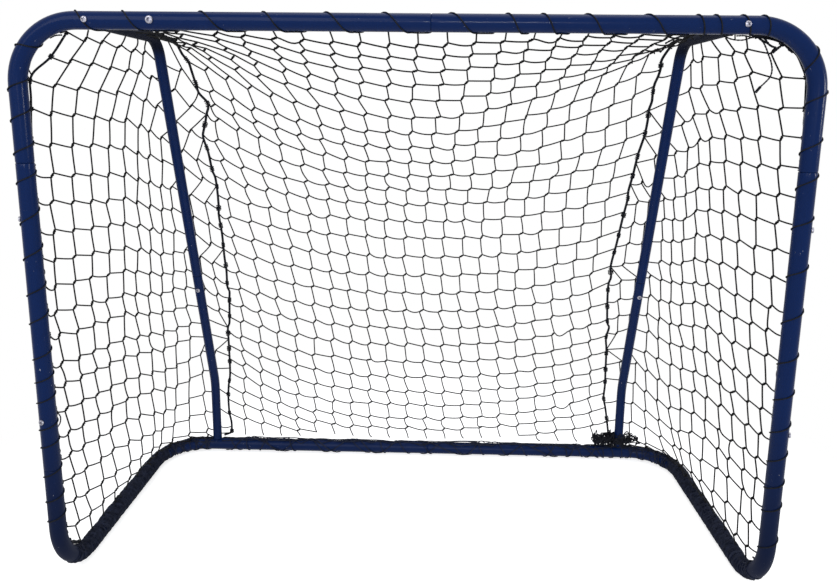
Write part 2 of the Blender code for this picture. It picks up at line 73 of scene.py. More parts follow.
class Shape:
    # Collects cords, tubes and heads into one mesh
    def __init__(self):
        self.points, self.faces, self.count = [], [], 0

    def add(self, points, *groups):
        points = np.asarray(points, float).reshape(-1, 3)
        self.points.append(points)
        for group in groups:
            self.faces += (np.asarray(group, int) + self.count).tolist()
        self.count += len(points)

    def cords(self, routes, radius, sides=6):
        # Closed tubes along routes of equal length, with one radius or one for each ring
        routes = np.asarray(routes, float)
        routes = routes[None] if routes.ndim == 2 else routes
        many, rings = routes.shape[:2]
        tangents = tangentsOf(routes)
        normals = carriedNormals(tangents)
        binormals = np.cross(tangents, normals)
        radius = np.broadcast_to(radius, (many, rings))
        angles = 2 * np.pi * (np.arange(sides) + 0.5) / sides
        ring = (normals[:, :, None] * np.cos(angles)[:, None]
                + binormals[:, :, None] * np.sin(angles)[:, None])
        points = routes[:, :, None] + ring * radius[:, :, None, None]
        step = np.arange(sides)
        after = (step + 1) % sides
        low = (np.arange(many)[:, None] * rings + np.arange(rings - 1)).reshape(-1, 1) * sides
        walls = np.stack([low + step, low + after, low + sides + after, low + sides + step], -1)
        first = np.arange(many)[:, None] * rings * sides
        last = first + (rings - 1) * sides
        self.add(points, walls.reshape(-1, 4), first + step[::-1], last + step)

    def make(self, name, material, slot, *nodes):
        # The finished piece, in place of the CAD nodes that are named
        mesh = bpy.data.meshes.new(name)
        mesh.from_pydata(np.concatenate(self.points).tolist(), [], self.faces)
        mesh.materials.append(material)
        mesh.polygons.foreach_set("use_smooth", [True] * len(mesh.polygons))
        mesh.set_sharp_from_angle(angle=math.radians(50))
        obj = bpy.data.objects.new(name, mesh)
        scene.collection.objects.link(obj)
        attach(obj, "root")
        if nodes:
            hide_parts(*nodes)


def curveThrough(points, count):
    # count points at even lengths on a smooth curve through the given points
    points = np.asarray(points, float)
    ends = np.concatenate([[2 * points[0] - points[1]], points, [2 * points[-1] - points[-2]]])
    a, b, c, d = ends[:-3, None], ends[1:-2, None], ends[2:-1, None], ends[3:, None]
    t = np.linspace(0, 1, 16, endpoint=False)[:, None]
    curve = (2 * b + (c - a) * t + (2 * a - 5 * b + 4 * c - d) * t ** 2
             + (3 * b - a - 3 * c + d) * t ** 3) / 2
    return evenly(np.concatenate([curve.reshape(-1, 3), points[-1:]]), count)


def lengthsOf(route):
    return np.concatenate([[0], np.cumsum(np.linalg.norm(np.diff(route, axis=0), axis=1))])


def pointsAt(route, lengths, values=None):
    # The route's points at these lengths, or what its points' values are there
    have = lengthsOf(route)
    values = route if values is None else values
    return np.stack([np.interp(lengths, have, values[:, k]) for k in range(3)], -1)


def evenly(route, count):
    return pointsAt(route, np.linspace(0, lengthsOf(route)[-1], count))


def bentRoute(corners, radius, spacing=0.006):
    # Straight runs with round bends at the inner corners, as closely spaced points
    corners = np.asarray(corners, float)
    pieces = [corners[:1]]
    for index in range(1, len(corners) - 1):
        before = unit(corners[index] - corners[index - 1])
        after = unit(corners[index + 1] - corners[index])
        turn = math.acos(float(np.clip(before @ after, -1, 1)))
        start = corners[index] - before * radius * math.tan(turn / 2)
        inward = unit(after - before * (before @ after))
        angles = np.linspace(0, turn, max(4, int(turn * radius / spacing * 1.5)))[:, None]
        pieces.append(start + before * np.sin(angles) * radius + inward * (1 - np.cos(angles)) * radius)
    pieces.append(corners[-1:])
    return np.concatenate(pieces)

# Shader helpers


def arithmetic(operation, swapped=False):
    def act(self, other):
        values = (other, self) if swapped else (self, other)
        return self.shader.node("Math", {"operation": operation}, values)
    return act


class Wire:
    # A shader value that takes arithmetic
    def __init__(self, shader, socket):
        self.shader, self.socket = shader, socket

    __add__, __radd__ = arithmetic("ADD"), arithmetic("ADD", True)
    __sub__, __rsub__ = arithmetic("SUBTRACT"), arithmetic("SUBTRACT", True)
    __mul__, __rmul__ = arithmetic("MULTIPLY"), arithmetic("MULTIPLY", True)

    def ramp(self, low, high):
        settings = {"interpolation_type": "SMOOTHSTEP", "clamp": True}
        return self.shader.node("MapRange", settings, [self, low, high])


class Shader:
    # The nodes of a new material with this name or, without one, of the world
    def __init__(self, name=None, fixed=()):
        self.owner = bpy.data.materials.new(name) if name else scene.world
        self.owner.use_nodes = True
        self.tree = self.owner.node_tree
        self.principled = self.tree.nodes.get("Principled BSDF")
        for socket, value in dict(fixed).items():
            self.principled.inputs[socket].default_value = value

    def node(self, kind, settings=(), values=(), output=0):
        made = self.tree.nodes.new("ShaderNode" + kind)
        for key, value in dict(settings).items():
            setattr(made, key, value)
        pairs = values.items() if isinstance(values, dict) else enumerate(values)
        for key, value in pairs:
            if isinstance(value, Wire):
                self.tree.links.new(value.socket, made.inputs[key])
            else:
                made.inputs[key].default_value = value
        return Wire(self, made.outputs[output])

    def place(self):
        return self.node("TexCoord", output="Object")

    def axis(self, place, index):
        return self.node("SeparateXYZ", {}, [place], index)

    def noise(self, place, scale, detail=3.0, roughness=0.5):
        values = {"Vector": place, "Scale": scale, "Detail": detail, "Roughness": roughness}
        return self.node("TexNoise", {}, values)

    def blend(self, factor, first, second):
        settings = {"data_type": "RGBA"}
        return self.node("Mix", settings, {0: factor, 6: first, 7: second}, 2)

    def surface(self, mixed, out):
        self.tree.links.new(mixed.socket, out.inputs["Surface"])

    def finished(self, base, roughness, height, strength, distance):
        bump = self.node("Bump", {}, {"Height": height, "Strength": strength, "Distance": distance})
        for socket, wire in (("Base Color", base), ("Roughness", roughness), ("Normal", bump)):
            self.tree.links.new(wire.socket, self.principled.inputs[socket])
        return self.owner


def colour(red, green, blue):
    return (red, green, blue, 1.0)


paintLook = {
    "blue": colour(0.0022, 0.0132, 0.0690),
    "worn": colour(0.0070, 0.0200, 0.0850),
    # The third paint colour is painted shade, laid near the floor and on the struts' arms
    "stain_and_shade": colour(0.0018, 0.0038, 0.0130),
    # The scuff colour is partly real wear and partly painted highlight specks standing in for glints
    "scuff_and_glint": colour(0.32, 0.33, 0.38),
    "roughness": 0.20,
    "shine": 0.08,
    "scuffAndGlintShare": 0.672,
}


def bluePaint():
    shader = Shader("blue_powder_coat", {"Specular IOR Level": paintLook["shine"]})
    place = shader.place()
    patches = shader.noise(place, 9.0, 4.0)
    fine = shader.noise(place, 900.0, 2.0)
    worn = shader.noise(place, 55.0, 5.0, 0.65).ramp(0.56, 0.74)
    streaks = shader.node("Mapping", {}, {"Vector": place, "Scale": (30.0, 160.0, 30.0)})
    scratches = shader.noise(streaks, 3.0, 6.0, 0.7)
    # Scuffs: partly real wear, partly painted highlight specks in place of glints
    scuffs_and_glints = scratches.ramp(paintLook["scuffAndGlintShare"], paintLook["scuffAndGlintShare"] + 0.03)
    back, up = shader.axis(place, 1), shader.axis(place, 2)
    # Painted shade, rougher too: darker near the floor, but less so at the back, and on the struts' arms
    low = (up + patches * 0.10).ramp(0.44, 0.06) * (1 - back.ramp(0.12, 0.22) * 0.75)
    # Painted shade on the struts' arms behind the crossbar, which are seen from below
    arms = up.ramp(0.850, 0.872) * back.ramp(-0.222, -0.200)
    unshaded_paint = shader.blend(worn * 0.35, paintLook["blue"], paintLook["worn"])
    base = shader.blend(low * 0.85 + arms * 0.95, unshaded_paint, paintLook["stain_and_shade"])
    base = shader.blend(scuffs_and_glints * 0.7, base, paintLook["scuff_and_glint"])
    roughness = paintLook["roughness"] + patches * 0.14 + scuffs_and_glints * 0.2 + (low + arms) * 0.45
    height = fine * 0.5 + patches * 0.6 - scuffs_and_glints * 0.3
    return shader.finished(base, roughness - 0.07, height, 0.18, 0.0006)


zincLook = {
    "bright": colour(0.40, 0.40, 0.46),
    "stain_and_shade": colour(0.20, 0.20, 0.25),
    "roughness": 0.34,
}


def zincPlate():
    shader = Shader("zinc_plate", {"Metallic": 1.0})
    place = shader.place()
    stain = shader.noise(place, 260.0, 4.0, 0.6)
    grain = shader.node("TexVoronoi", {}, {"Vector": place, "Scale": 1800.0})
    base = shader.blend(stain.ramp(0.4, 0.7), zincLook["bright"], zincLook["stain_and_shade"])
    return shader.finished(base, zincLook["roughness"] + stain * 0.25, grain, 0.15, 0.0002)


plugLook = {
    "black": colour(0.012, 0.012, 0.013),
    "grey": colour(0.030, 0.030, 0.032),
    "roughness": 0.42,
}


def blackNylon():
    shader = Shader("black_plug_plastic", {"IOR": 1.46})
    place = shader.place()
    mottle = shader.noise(place, 300.0, 3.0)
    base = shader.blend(mottle.ramp(0.35, 0.7), plugLook["black"], plugLook["grey"])
    return shader.finished(base, plugLook["roughness"] + mottle * 0.2, mottle, 0.1, 0.0002)


twines = {
    "black_net_twine": {
        "dark": colour(0.0030, 0.0030, 0.0035), "light": colour(0.014, 0.014, 0.015),
        "roughness": 0.78,
    },
    "black_lacing_cord": {
        "dark": colour(0.0045, 0.0052, 0.0080), "light": colour(0.014, 0.016, 0.023),
        "roughness": 0.74,
    },
    "navy_black_lace": {
        "dark": colour(0.0075, 0.0095, 0.0180), "light": colour(0.0230, 0.0290, 0.0560),
        "roughness": 0.74,
    },
}


def twistedTwine(name):
    # Matt twisted fibre: fine slanted ridges and a dusty mottle
    looks = twines[name]
    shader = Shader(name, {"Specular IOR Level": 0.12})
    place = shader.place()
    mottle = shader.noise(place, 120.0, 4.0, 0.6)
    ridge = shader.node("TexWave", {"wave_type": "BANDS", "bands_direction": "DIAGONAL"}, {
        "Vector": place, "Scale": 420.0, "Distortion": 3.0, "Detail": 2.0}, 1)
    # The ridge bands lighten the colour as painted sheen along the twist; the mottle is random tone
    lit = mottle.ramp(0.35, 0.75) * 0.7 + ridge * 0.3
    base = shader.blend(lit, looks["dark"], looks["light"])
    return shader.finished(base, looks["roughness"] + mottle * 0.12, ridge + mottle * 0.5, 0.5, 0.0004)


paint, zinc, plugBlack = bluePaint(), zincPlate(), blackNylon()
twine, cord, lace = (twistedTwine(name) for name in twines)
print("materials made")

# Frame

goal = {
    "width": 1.150, "depth": 0.500, "height": 0.900,
    "tube": 0.0254, "bend": 0.090, "railZ": 0.01527, "sides": 48,
    "centreSeam": 0.025, "upperSeam": 0.687, "lowerSeam": 0.208, "railSeam": 0.020,
}
postX = (goal["width"] - goal["tube"]) / 2
frontY = (goal["tube"] - goal["depth"]) / 2
rearY = -frontY
barZ = goal["height"] - goal["tube"] / 2
railZ = goal["railZ"]

seam = {
    "lip": 0.0007, "rim": 0.0011, "gap": 0.0004, "shoulder": 0.0030, "under": 0.0100,
    "drawn": 0.0016, "ledge": 0.0009, "ends": 0.008, "spacing": 0.006,
}


def frameTube(name, corners, size, radius, male, node):
    # male tells for each end whether it is drawn down to slide into the next tube
    route = bentRoute(corners, radius)
    route = evenly(route, 2 + int(lengthsOf(route)[-1] / seam["spacing"]))
    length = lengthsOf(route)[-1]
    places = np.arange(seam["ends"], length - seam["ends"], seam["spacing"])
    full = size / 2
    profile = []
    for drawn in male:
        if drawn:
            inner = full - seam["drawn"]
            steps = [(-seam["under"], inner), (seam["gap"] * 0.5, inner),
                     (seam["gap"], full - seam["ledge"]),
                     (seam["shoulder"] * 0.5, full - 0.0002), (seam["shoulder"], full)]
        else:
            steps = [(0, full - seam["rim"]), (0.0001, full - seam["lip"] * 0.5),
                     (seam["lip"] * 0.4, full - 0.0001), (seam["lip"], full)]
        profile.append(steps)
    stations = (profile[0] + [(place, full) for place in places]
                + [(length - place, radius) for place, radius in profile[1][::-1]])
    places, tubeRadii = np.array(stations).T
    points = pointsAt(route, np.clip(places, 0, length))
    points += unit(route[1] - route[0]) * np.minimum(places, 0)[:, None]
    points += unit(route[-1] - route[-2]) * np.maximum(places - length, 0)[:, None]
    shape = Shape()
    shape.cords(points, tubeRadii, goal["sides"])
    shape.make(name, paint, "frame_paint", node)


for side, word in bothSides:
    x, tube, bend = side * postX, goal["tube"], goal["bend"]
    upper, lower = (x, frontY, goal["upperSeam"]), (x, frontY, goal["lowerSeam"])
    rail = (x, goal["railSeam"], railZ)
    frameTube("bar_" + word, [upper, (x, frontY, barZ), (goal["centreSeam"], frontY, barZ)],
              tube, bend, (True, side > 0), "crossbar_" + word)
    frameTube("upright_" + word, [lower, upper], tube, 0, (False, False), "post_" + word)
    frameTube("rail_front_" + word, [lower, (x, frontY, railZ), rail],
              tube, bend, (True, True), "base_front_" + word)
    frameTube("rail_rear_" + word, [rail, (x, rearY, railZ), (goal["centreSeam"], rearY, railZ)],
              tube, bend, (False, side > 0), "base_rear_" + word)

strut = {
    "size": 0.0190, "x": 0.454, "slope": 0.32, "bendY": 0.0060,
    "topRadius": 0.045, "footRadius": 0.120, "seamZ": 0.430,
}
strutFootZ = barZ - (rearY - strut["bendY"]) / strut["slope"]


def strutY(z):
    return np.clip(rearY - (np.asarray(z) - strutFootZ) * strut["slope"], strut["bendY"], rearY)


for side, word in bothSides:
    x = side * strut["x"]
    joint = (x, float(strutY(strut["seamZ"])), strut["seamZ"])
    frameTube("stay_upper_" + word,
              [(x, frontY + goal["tube"] / 2 + 0.0003, barZ), (x, strut["bendY"], barZ), joint],
              strut["size"], strut["topRadius"], (False, True), "strut_upper_" + word)
    frameTube("stay_lower_" + word,
              [joint, (x, rearY, strutFootZ), (x, rearY, railZ + goal["tube"] / 2 + 0.0003)],
              strut["size"], strut["footRadius"], (False, False), "strut_lower_" + word)
print("frame tubes made")

# Net

mesh = {
    "rearBar": 0.0415, "sideBar": 0.0475, "sideSlack": 0.0385,
    "cord": 0.00128, "knot": 0.0045, "knotCoil": 0.00115, "sides": 5,
    "pull": np.array([0, 0, -0.0001]), "jitter": 0.0010,
    "rearRows": 27, "rearColumns": 21, "armBunch": 0.45,
}
# Each corner rope's way down behind its strut: how far inside the strut, and how high, in mm
ropeWay = {
    "left": [
        (12, 890), (27, 882), (36, 862), (45, 849), (48, 834), (53, 807), (55, 796), (62, 787),
        (68, 780), (69, 770), (64, 758), (59, 741), (52, 722), (51, 714), (54, 698), (57, 682),
        (59, 651), (63, 636), (63, 605), (61, 574), (59, 559), (60, 520), (58, 470), (58, 439),
        (55, 400), (58, 390), (55, 368), (48, 314), (43, 302), (41, 282), (39, 256), (32, 182),
        (26, 151), (24, 119), (25, 85), (29, 61), (29, 36),
    ],
    "right": [
        (10, 892), (13, 884), (20, 873), (27, 858), (26, 846), (28, 832), (32, 819), (33, 804),
        (32, 788), (35, 773), (34, 757), (35, 730), (39, 706), (42, 689), (45, 653), (49, 620),
        (48, 603), (52, 564), (56, 512), (61, 461), (57, 436), (60, 413), (51, 333), (45, 318),
        (48, 291), (43, 260), (38, 208), (34, 168), (35, 137), (30, 115), (24, 80), (18, 40),
    ],
}
middleProfile = [
    (-0.2200, 0.8775), (-0.085, 0.820), (0.035, 0.715), (0.120, 0.590),
    (0.160, 0.450), (0.190, 0.300), (0.217, 0.160), (0.2400, 0.0360),
]
# Heights of the rear net's rows in the middle and at each rope, and its columns on the crossbar
rearPlaces = {
    "middle": {
        0: 0.8775, 1: 0.865, 3: 0.827, 5: 0.783, 9: 0.676, 12: 0.590, 14: 0.518, 18: 0.355, 21: 0.235,
        23: 0.159, 25: 0.092, 27: 0.036,
    },
    "left": {
        6: 0.850, 7: 0.813, 9: 0.760, 12: 0.641, 16: 0.486, 18: 0.398, 21: 0.292, 25: 0.149, 27: 0.084,
    },
    "right": {
        7: 0.843, 8: 0.815, 11: 0.694, 13: 0.617, 17: 0.461, 18: 0.424, 19: 0.376, 23: 0.217, 27: 0.080,
    },
    "crossbar": {0: -0.441, 1: -0.359, 6: -0.160, 14: 0.173, 18: 0.325, 21: 0.441},
    "sway": {0: 0.0, 1: 0.003, 3: 0.004, 5: 0.002, 6: -0.012, 7: -0.008, 9: -0.004, 10: 0.003, 13: 0.0},
    "crossbarShare": {0: 1.0, 4: 0.65, 7: 0.0},
    "firstCell": {0: 1.0, 7: 0.88, 8: 0.50, 14: 0.55, 25: 0.82},
    "lastCell": {0: 1.0, 8: 0.60, 12: 1.15, 25: 0.75},
    "leftBow": {1: 1.9, 3: 2.2, 6: 2.2, 9: 2.6},
    "rightBow": {2: 1.0, 4: 1.3, 8: 1.8, 12: 2.0, 14: 2.3},
    "above": 0.012,
}


def ropeLine(side, word):
    inset, z = np.array(ropeWay[word]).T / 1000
    return curveThrough(np.stack([side * (strut["x"] - inset), strutY(z) + 0.0135, z], -1), 220)


ropeLines = {word: ropeLine(side, word) for side, word in bothSides}


def metres(tenths):
    # Measured places are listed in tenths of a millimetre
    return np.array(tenths) / 10000


def atHeights(line, heights):
    order = np.argsort(line[:, 2])
    return np.stack([np.interp(heights, line[order, 2], line[order, k]) for k in (0, 1, 2)], -1)


def relax(points, pinned, bar, steps, hold):
    # Strands longer than a mesh bar pull their knots together; the rest hang slack
    loose = (~pinned)[..., None].astype(float)
    exists = ~np.isnan(points[..., 0])
    points = np.nan_to_num(points)
    start = points.copy()
    for _ in range(steps):
        points += loose * ((start - points) * hold + mesh["pull"])
        for axis in (0, 1):
            knots, free, there = (part.swapaxes(0, axis) for part in (points, loose, exists))
            for odd in (0, 1):
                first, second = slice(odd, -1, 2), slice(odd + 1, None, 2)
                gap = knots[second] - knots[first]
                length = np.linalg.norm(gap, axis=-1, keepdims=True)
                over = np.maximum(0, 1 - bar / np.maximum(length, 1e-9)) * gap
                over *= (there[first] & there[second])[..., None]
                total = np.maximum(free[first] + free[second], 1e-9)
                knots[first] += over * free[first] / total
                knots[second] -= over * free[second] / total
    points[~exists] = np.nan
    return points


def drawNet(name, points, border, bar, diagonal, nodes, seed):
    # points is a grid of knots, rows down and columns to the right of the picture. Border knots
    # sit on a cord; the others have two ends, set along diagonal, from which the strands leave.
    rng = np.random.default_rng(seed)
    shape = Shape()
    exists = ~np.isnan(points[..., 0])
    inner = exists & ~border
    size = mesh["knot"] * rng.uniform(0.8, 1.15, points.shape[:2])
    turn = rng.normal(0, 0.16, points.shape[:2] + (3,))
    lean = unit(diagonal + turn) * (size * inner)[..., None]
    for axis, sign in ((0, -1), (1, 1)):
        first = (slice(None),) * axis + (slice(None, -1),)
        second = (slice(None),) * axis + (slice(1, None),)
        keep = exists[first] & exists[second] & ~(border[first] & border[second])
        a = (points + sign * lean)[first][keep]
        b = (points - sign * lean)[second][keep]
        slack = np.clip(bar - 0.0050 - np.linalg.norm(b - a, axis=-1), 0, 0.008)
        across = np.cross(b - a, np.cross(b - a, rng.normal(0, 1, a.shape)))
        sag = unit(across) * 0.5 + np.array([0, 0, -0.6])
        t = np.linspace(0, 1, 7)[None, :, None]
        swing = rng.normal(0, 0.35, (len(a), 1, 1))
        bow = 4 * t * (1 - t) * (1 + swing * (t - 0.5) * 2)
        ease = np.where(rng.random((len(a), 1, 1)) < 0.03, 1.0, 0.30)
        depth = ease * np.sqrt(0.375 * slack * 0.04)[:, None, None] + 0.0005
        routes = a[:, None] * (1 - t) + b[:, None] * t + bow * depth * sag[:, None]
        shape.cords(routes, mesh["cord"], mesh["sides"])
    # Each knot is a short coil round a core
    middle, core = points[inner][:, None], lean[inner][:, None]
    side = unit(np.cross(core, rng.normal(0, 1, core.shape)))
    other = unit(np.cross(core, side))
    angle = np.linspace(0, 2 * np.pi * 1.9, 15)[None, :, None]
    t = np.linspace(-0.72, 0.72, 15)[None, :, None]
    coil = middle + core * t + (side * np.cos(angle) + other * np.sin(angle)) * mesh["knotCoil"]
    shape.cords(coil, mesh["cord"] * 0.95, mesh["sides"])
    ends = np.array([-1.0, -0.35, 0.35, 1.0])[None, :, None]
    thick = np.array([0.9, 1.4, 1.4, 0.9]) * mesh["cord"]
    shape.cords(middle + core * ends, thick, mesh["sides"])
    shape.make(name, twine, "netting", *nodes)


def byRow(word, rows):
    return np.interp(rows, list(rearPlaces[word]), list(rearPlaces[word].values()))


def rearEdge(side, word):
    # The first rows start along the strut's top, the others on the rope, the last by the rear bar
    arm = [(side * (strut["x"] - 0.013), y, barZ - 0.003) for y in (-0.220, -0.12, -0.02)]
    line = np.concatenate([arm, ropeLines[word]])
    many, first = mesh["rearRows"], min(rearPlaces[word])
    reach = lengthsOf(line)[len(arm)]
    start = pointsAt(line, reach * (np.arange(first) / (first - 0.5)) ** mesh["armBunch"])
    rest = atHeights(ropeLines[word], byRow(word, np.arange(first, many + 1)))
    return np.concatenate([start, rest, ropeLines[word][-1:]])


def rearGrid():
    rows, columns = mesh["rearRows"], mesh["rearColumns"]
    rng = np.random.default_rng(5)
    profile = curveThrough([(0, y, z) for y, z in middleProfile], 200)
    down = np.arange(rows + 2)
    middle = atHeights(profile, byRow("middle", down))
    edges = [rearEdge(side, word) for side, word in bothSides]
    firstCell, lastCell = byRow("firstCell", down)[:, None], byRow("lastCell", down)[:, None]
    across = firstCell + np.arange(-1, columns)[None]
    across[:, 0] = 0
    across[:, -1:] = across[:, -2:-1] + lastCell
    across = (across / across[:, -1:])[..., None]
    points = edges[0][:, None] * (1 - across) + edges[1][:, None] * across
    crossbar = byRow("crossbar", np.arange(columns + 1)) - points[0, :, 0]
    points[..., 0] += crossbar * byRow("crossbarShare", down)[:, None]
    points[:, 1:-1, 0] += byRow("sway", down)[:, None]
    leftBow, rightBow = (byRow(word, down)[:, None, None] for word in ("leftBow", "rightBow"))
    bow = np.abs(2 * across - 1) ** np.where(across < 0.5, leftBow, rightBow)
    points[..., 1:] = middle[:, None, 1:] + (points[..., 1:] - middle[:, None, 1:]) * bow
    # Where the last whole row hangs above the bar, a short row below it meets the bar
    onBar = points[rows, :, 2] < middle[rows, 2] + rearPlaces["above"]
    points[rows + 1, onBar] = np.nan
    points[rows + 1, ~onBar, 1:] = middle[rows, 1:]
    pinned = np.zeros(points.shape[:2], bool)
    pinned[0] = pinned[-1] = pinned[:, 0] = pinned[:, -1] = True
    pinned[rows] |= onBar
    pinned &= ~np.isnan(points[..., 0])
    inner = points[1:-1, 1:-1]
    inner += rng.normal(0, mesh["jitter"], inner.shape) * ~pinned[1:-1, 1:-1, None]
    return relax(points, pinned, mesh["rearBar"], 60, 0.05), pinned


rearPoints, rearPinned = rearGrid()
drawNet("net_back", rearPoints, rearPinned, mesh["rearBar"], np.array([0.75, 0.0, 0.55]),
        ["net_roof", "net_rear"], 11)
print("rear net made")

# Rows are numbered down from the top edge, columns back from the front edge. Lists are in tenths
# of a millimetre.
sideNet = {
    "rows": 21, "footZ": 0.0310, "standoff": 0.0190, "edge": 0.0015, "behind": 0.0150,
    "bars": {
        1: (486, 483, 425, 380, 316, 300, 300, 300, 340, 360, 360),
        4: (417, 383, 367, 334, 305, 280, 290, 300, 340, 360, 360),
        8: (405, 400, 383, 385, 356, 330, 340, 330, 350, 380, 380),
        12: (388, 378, 384, 394, 370, 370, 380, 400, 430, 430, 430),
        17: (318, 370, 345, 405, 380, 410, 430, 480, 490, 480, 480),
    },
    "footPlaces": (0, 600, 1020, 1440, 1880, 2320, 2840, 3340, 3820, 4280, 4700, 5080, 5360, 5600),
    "left": {
        "corner": [(4954, 8733), (5223, 8384), (5525, 8120), (5563, 7773)],
        "top": [
            (4645, -2183, 8755), (4665, -1460, 8800), (4665, -900, 8820), (4665, -450, 8830),
            (4665, -80, 8840), (4665, 120, 8820),
        ],
        "first": {1: 385, 3: 430, 5: 339, 7: 285, 9: 258, 11: 190, 13: 215, 15: 255, 21: 260},
        "post": (
            8733, 8733, 8384, 8057, 7658, 7166, 6695, 6291, 5836, 5420, 4999, 4555, 4202, 3714, 3351,
            2934, 2526, 2149, 1732, 1345, 988, 682,
        ),
        "strut": {
            0: 8700, 1: 8350, 2: 8018, 3: 7551, 4: 6994, 5: 6608, 6: 6107, 7: 5650, 8: 5230, 9: 4780,
            10: 4385, 11: 4010, 12: 3600, 13: 3210, 14: 2890, 15: 2430, 16: 2090, 17: 1660, 21: 360,
        },
        "touch": 0.66,
        "fall": (0.10, 0.17, 0.21, 0.25, 0.28, 0.45, 0.62, 0.79, 0.87, 0.94, 0.97),
        "ropeDrop": {0: 300, 2: 450, 9: 350, 13: 200, 21: 40},
    },
    "right": {
        "corner": [
            (4780, 8749), (5065, 8698), (5196, 8638), (5301, 8564), (5391, 8497), (5476, 8347),
            (5539, 8211), (5563, 8050),
        ],
        "top": [
            (4810, -2183, 8745), (4660, -2183, 8750), (4665, -1460, 8790), (4665, -900, 8810),
            (4665, -450, 8830), (4665, -50, 8840), (4665, 120, 8820),
        ],
        "first": {1: 217, 2: 442, 5: 389, 8: 340, 12: 313, 14: 260, 21: 270},
        "post": (
            8745, 8645, 8176, 7767, 7345, 6917, 6481, 6084, 5650, 5210, 4764, 4389, 3977, 3511, 3104,
            2707, 2272, 1932, 1572, 1155, 785, 660,
        ),
        "strut": {
            0: 8700, 1: 8410, 2: 7824, 3: 7353, 4: 6865, 5: 6456, 6: 6040, 7: 5620, 8: 5207, 9: 4791,
            10: 4404, 11: 3982, 12: 3577, 13: 3206, 14: 2772, 15: 2365, 16: 1983, 21: 360,
        },
        "touch": 0.60,
        "fall": (0.01, 0.07, 0.08, 0.08, 0.14, 0.27, 0.62, 0.82, 0.92, 0.97, 0.99),
        "ropeDrop": {0: 100, 6: 120, 10: 220, 21: 40},
    },
}


def frontFoot(side):
    inside = goal["bend"] - (goal["bend"] - sideNet["standoff"]) * math.sqrt(0.5)
    return np.array([side * postX, frontY + inside, railZ + inside])


def footLine(side, start):
    # From the front edge over the rail and round its rear bend to the strut
    turnX, turnY, bend = postX - goal["bend"], rearY - goal["bend"], goal["bend"]
    angles = np.linspace(0, math.pi / 2, 12)
    points = [start, (side * (postX + 0.004), start[1] + 0.057, sideNet["footZ"])]
    points += [(side * (turnX + bend * math.cos(a)), turnY + bend * math.sin(a), sideNet["footZ"])
               for a in angles]
    points.append((side * (strut["x"] - 0.028), rearY + 0.012, sideNet["footZ"] + 0.005))
    return np.array(points)


def frontLine(side, word):
    # The net's front edge: the corner at the top bend, the post's inner side and the front bend
    y = frontY + sideNet["standoff"]
    inner = postX - sideNet["edge"]
    corner = [(side * x, y, z) for x, z in metres(sideNet[word]["corner"])]
    return curveThrough(corner + [(side * inner, y, z) for z in (0.70, 0.50, 0.30, 0.16, 0.11)]
                        + [(side * (postX - 0.003), y, 0.066), frontFoot(side)], 160)


def keyed(table):
    return np.interp(np.arange(sideNet["rows"] + 1), list(table), metres(list(table.values())))


def barsOf(row):
    table = sideNet["bars"]
    return np.array([np.interp(row, list(table), bars) for bars in metres(list(table.values())).T])


def rowKnots(edge, passing, rope, first, bars, fall):
    # Back from the post to the strut, falling most near it, then behind it to the rope
    columns = first + np.concatenate([[0], np.cumsum(bars)])
    columns = columns[columns < passing[1] - edge[1] - 0.010]
    share = columns / (passing[1] - edge[1])
    knots = edge + (passing - edge) * share[:, None]
    lowest = (*fall, 1.0)[:len(columns)]
    knots[:, 2] = edge[2] + (passing[2] - edge[2]) * np.array(lowest) / max(1.0, lowest[-1] / 0.96)
    gap = rope - passing
    shares = (0.28, 0.66, 1.0) if np.linalg.norm(gap) > 0.062 else (0.34, 1.0)
    return np.concatenate([[edge], knots, [passing + gap * share for share in shares]])


def onFoot(foot, many):
    # The last knots keep their places by the strut, the others by the front
    places = metres(sideNet["footPlaces"])
    order = np.arange(many)
    order = np.where(order < many - 2, order, len(places) - many + order)
    return pointsAt(foot, places[np.clip(order, 0, len(places) - 1)] * lengthsOf(foot)[-1] / places[-1])


def drawnDown(above, many, touch):
    # How far each knot of a row some rows above the last is drawn to the foot line
    back = np.minimum(1, np.linspace(0, 1, many)[:, None] / touch)
    return np.clip(1.25 - above * (1.10 - 0.85 * back), 0, 1) if above else np.ones((many, 1))


def sidePanel(side, word):
    looks, rows = sideNet[word], sideNet["rows"]
    rng = np.random.default_rng(7 + side)
    post = atHeights(frontLine(side, word), metres(looks["post"]))
    foot = footLine(side, post[rows])
    passZ = keyed(looks["strut"])
    strutX = strut["x"] + strut["size"] / 2 + 0.006
    passing = np.stack([np.full(rows + 1, side * strutX), strutY(passZ) + sideNet["behind"], passZ], -1)
    rope = atHeights(ropeLines[word], passZ - keyed(looks["ropeDrop"]))
    first = keyed(looks["first"])
    knots = [np.concatenate([[post[0]], metres(looks["top"]) * (side, 1, 1), ropeLines[word][:1]])]
    for i in range(1, rows + 1):
        knots.append(rowKnots(post[i], passing[i], rope[i], first[i], barsOf(i), looks["fall"]))
    points = np.full((rows + 1, max(len(row) for row in knots), 3), np.nan)
    pinned = np.zeros(points.shape[:2], bool)
    for i, row in enumerate(knots):
        row = row + (onFoot(foot, len(row)) - row) * drawnDown(rows - i, len(row), looks["touch"])
        points[i, :len(row)] = row
        pinned[i, 0] = pinned[i, len(row) - 1] = True
    pinned[0] = pinned[rows] = True
    free = ~pinned
    points[free] += rng.normal(0, mesh["jitter"], points[free].shape)
    points = relax(points, pinned, mesh["sideBar"], 30, 0.25)
    if side > 0:
        points, pinned = points[:, ::-1], pinned[:, ::-1]
    return points, pinned & ~np.isnan(points[..., 0])


for side, word in bothSides:
    lean = np.array([0.22, -side * 0.62, 0.75])
    drawNet("net_side_" + word, *sidePanel(side, word), mesh["sideSlack"], lean, ["net_" + word],
            20 + side)
print("side nets made")

# Ropes, edge cords and lacing

wrapping = {
    "lace": 0.0010, "rope": 0.0023, "edge": 0.0016, "hitch": 0.0009,
    "spacing": 0.0022, "around": 16, "aboveFloor": 0.0014,
}


